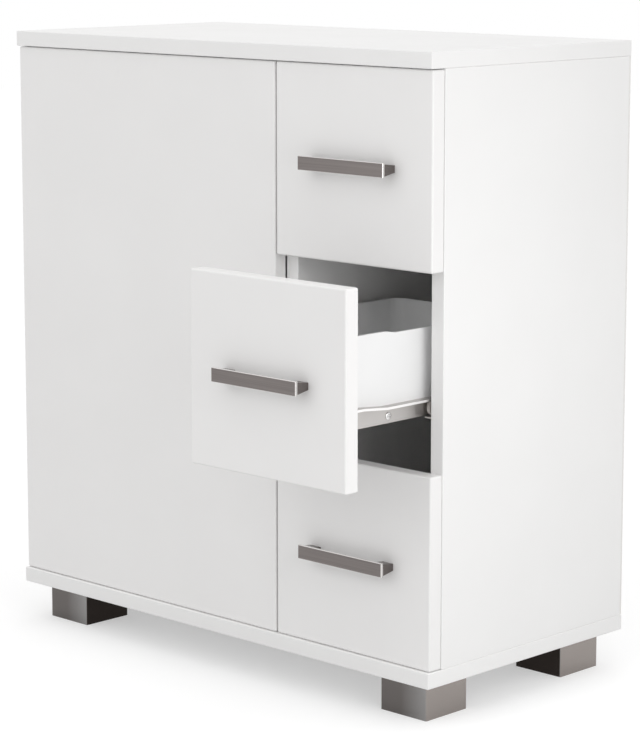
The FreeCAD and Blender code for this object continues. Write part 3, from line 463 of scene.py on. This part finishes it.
class Turned:
    """A round solid, read from its points: how far each one is along the axis and from it."""

    def __init__(self, points, axis):
        self.axis = axis
        self.middle = {}
        for i in (AXIS_X, AXIS_Y, AXIS_Z):
            if i != axis:
                places = [point[i] for point in points]
                self.middle[i] = (min(places) + max(places)) / 2
        self.along = [point[axis] for point in points]
        self.radii = [math.hypot(*(point[i] - self.middle[i] for i in self.middle)) for point in points]

    def ring(self, spots):
        """Points round the axis, one for each (along, radius) of spots."""
        first, second = self.middle
        points = []
        for i, (along, radius) in enumerate(spots):
            turn = 2 * math.pi * i / len(spots)
            point = Vector()
            point[self.axis] = along
            point[first] = self.middle[first] + radius * math.cos(turn)
            point[second] = self.middle[second] + radius * math.sin(turn)
            points.append(point)
        return points


def recess(share, turn):
    """The depth of the cross recess, in heights of the head, at that share of its radius."""
    x = abs(share * math.cos(turn))
    y = abs(share * math.sin(turn))
    if min(x, y) > RECESS_HALF_WIDTH or max(x, y) > RECESS_REACH:
        return 0.0
    return RECESS_DEPTH * (1.0 - RECESS_SLOPE * max(x, y) / RECESS_REACH)


def screw_rings(screw):
    """A pan-head screw with a cross recess, on the places of its CAD solid."""
    head_radius = max(screw.radii)
    spots = list(zip(screw.along, screw.radii))
    rim = [along for along, radius in spots if radius > HEAD_SHARE * head_radius]
    outward = 1 if max(screw.along) - max(rim) < WELD else -1
    seat = min(rim) if outward > 0 else max(rim)
    tip = min(screw.along) if outward > 0 else max(screw.along)
    head = max(rim) - min(rim)
    shank = max(radius for along, radius in spots if abs(along - tip) < WELD)
    plain = [
        (tip, shank * TIP_RADIUS),
        (tip + outward * shank * TIP_RADIUS, shank),
        (seat, shank),
        (seat, head_radius),
        (seat + outward * head * HEAD_RIM, head_radius),
    ]
    rings = [screw.ring([spot] * SCREW_SEGMENTS) for spot in plain]
    for share in DOME_RINGS:
        dome = HEAD_RIM + (1.0 - HEAD_RIM) * math.sqrt(1.0 - share * share)
        crown = []
        for i in range(SCREW_SEGMENTS):
            height = head * (dome - recess(share, 2 * math.pi * i / SCREW_SEGMENTS))
            crown.append((seat + outward * height, share * head_radius))
        rings.append(screw.ring(crown))
    return rings


def roller_rings(roller):
    """A moulded roller: a hub, a thin web and a crowned tread, the same on both sides."""
    outer = max(roller.radii)
    bore = min(roller.radii)
    middle = (min(roller.along) + max(roller.along)) / 2
    half = (max(roller.along) - min(roller.along)) / 2
    side = [
        (1.0, bore),
        (1.0, outer * HUB_RADIUS),
        (WEB_DEPTH, outer * (HUB_RADIUS + WEB_SLOPE)),
        (WEB_DEPTH, outer * (RIM_RADIUS - WEB_SLOPE)),
        (1.0, outer * RIM_RADIUS),
        (1.0, outer * (1.0 - TREAD_EDGE)),
        (TREAD_SHOULDER, outer * (1.0 - TREAD_CROWN)),
        (TREAD_FLAT, outer),
    ]
    profile = [(-place, radius) for place, radius in side] + side[::-1]
    return [roller.ring([(middle + place * half, radius)] * ROLLER_SEGMENTS) for place, radius in profile]


def add_rings(work, rings, closed):
    """Joins rings of points by faces; a closed row of rings runs on from its last to its first."""
    loops = [[work.verts.new(point) for point in ring] for ring in rings]
    pairs = list(zip(loops, loops[1:]))
    if closed:
        pairs.append((loops[-1], loops[0]))
    else:
        work.faces.new(loops[0])
        work.faces.new(loops[-1])
    for one, two in pairs:
        for i in range(len(one)):
            j = (i + 1) % len(one)
            work.faces.new((one[i], one[j], two[j], two[i]))


def replace_turned(node, name, axis, make_rings, closed):
    """A finer piece in the place of a CAD node of round solids."""
    work = bmesh.new()
    for points in solids_of(node):
        add_rings(work, make_rings(Turned(points, axis)), closed)
    bmesh.ops.recalc_face_normals(work, faces=work.faces)
    mesh = bpy.data.meshes.new(name)
    work.to_mesh(mesh)
    work.free()
    mesh.shade_smooth()
    mesh.set_sharp_from_angle(angle=SHARP_ANGLE)
    piece = bpy.data.objects.new(name, mesh)
    bpy.context.scene.collection.objects.link(piece)
    slot = SLOT_OF[node]
    mesh.materials.append(FINISHES[slot])
    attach(piece, BODY_OF[node])
    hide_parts(node)


def make_fasteners():
    for node, axis in SCREW_AXES.items():
        replace_turned(node, f"{node}_cross_head", axis, screw_rings, False)


def make_rollers():
    for drawer in DRAWERS:
        for node in (f"front_rollers_{drawer}", f"rear_rollers_{drawer}"):
            replace_turned(node, f"{node}_moulded", AXIS_X, roller_rings, True)


def dress_nodes():
    """Gives every CAD node the finish of its material slot."""
    for name, node in NODES.items():
        node.data.materials[0] = FINISHES[SLOT_OF[name]]


def make_world():
    """A white backdrop, whose light on the object grows from the horizon to the zenith."""
    world = bpy.data.worlds.new("studio")
    bpy.context.scene.world = world
    world.use_nodes = True
    nodes = Nodes(world.node_tree)
    height = nodes.axis(nodes.add("TexCoord").outputs["Generated"], "Z")
    light = nodes.ramp(height, 0.0, 1.0, HORIZON_LIGHT, ZENITH_LIGHT)
    level = nodes.ramp(nodes.background_rays(), 0.0, 1.0, light, 1.0)
    nodes.set(nodes.tree.nodes["Background"], Color=BACKDROP_COLOUR, Strength=level)


def make_floor():
    """A pale floor that keeps shadows, with a glow that only the background's rays see."""
    half = FLOOR_SIZE / 2
    corners = [(-half, -half, 0), (half, -half, 0), (half, half, 0), (-half, half, 0)]
    mesh = bpy.data.meshes.new("floor")
    mesh.from_pydata(corners, [], [range(len(corners))])
    floor = bpy.data.objects.new("floor", mesh)
    bpy.context.scene.collection.objects.link(floor)
    material = bpy.data.materials.new("floor_pale")
    material.use_nodes = True
    nodes = Nodes(material.node_tree)
    nodes.tree.nodes.remove(nodes.tree.nodes["Principled BSDF"])
    matt = nodes.add("BsdfDiffuse", Color=FLOOR_COLOUR)
    glow = nodes.add("Emission", Strength=nodes.ramp(nodes.background_rays(), 0.0, 1.0, 0.0, FLOOR_GLOW))
    both = nodes.add("AddShader", matt.outputs[0], glow.outputs[0])
    nodes.set(nodes.tree.nodes["Material Output"], Surface=both.outputs[0])
    mesh.materials.append(material)


def make_lamp(name, place, size, power):
    """A soft square lamp turned to the middle of the cabinet."""
    lamp = bpy.data.lights.new(name, "AREA")
    lamp.shape = "SQUARE"
    lamp.size = size
    lamp.energy = power
    light = bpy.data.objects.new(name, lamp)
    bpy.context.scene.collection.objects.link(light)
    light.location = place
    light.rotation_euler = (LIGHT_TARGET - place).to_track_quat("-Z", "Y").to_euler()
    light.visible_camera = False


def make_camera():
    data = bpy.data.cameras.new("camera")
    data.sensor_width = SENSOR
    data.lens = FOCAL_PIXELS * SENSOR / IMAGE_HEIGHT
    data.shift_y = CAMERA_SHIFT_UP
    data.clip_end = CAMERA_REACH
    camera = bpy.data.objects.new("camera", data)
    bpy.context.scene.collection.objects.link(camera)
    camera.location = CAMERA_PLACE
    camera.rotation_euler = (math.pi / 2 - CAMERA_PITCH, 0.0, CAMERA_AZIMUTH)
    bpy.context.scene.camera = camera


dress_nodes()
make_fasteners()
make_rollers()
make_world()
make_floor()
make_lamp("key", KEY_PLACE, KEY_SIZE, KEY_POWER)
make_lamp("front", FRONT_PLACE, FRONT_SIZE, FRONT_POWER)
make_camera()
bpy.context.scene.view_settings.view_transform = "Standard"
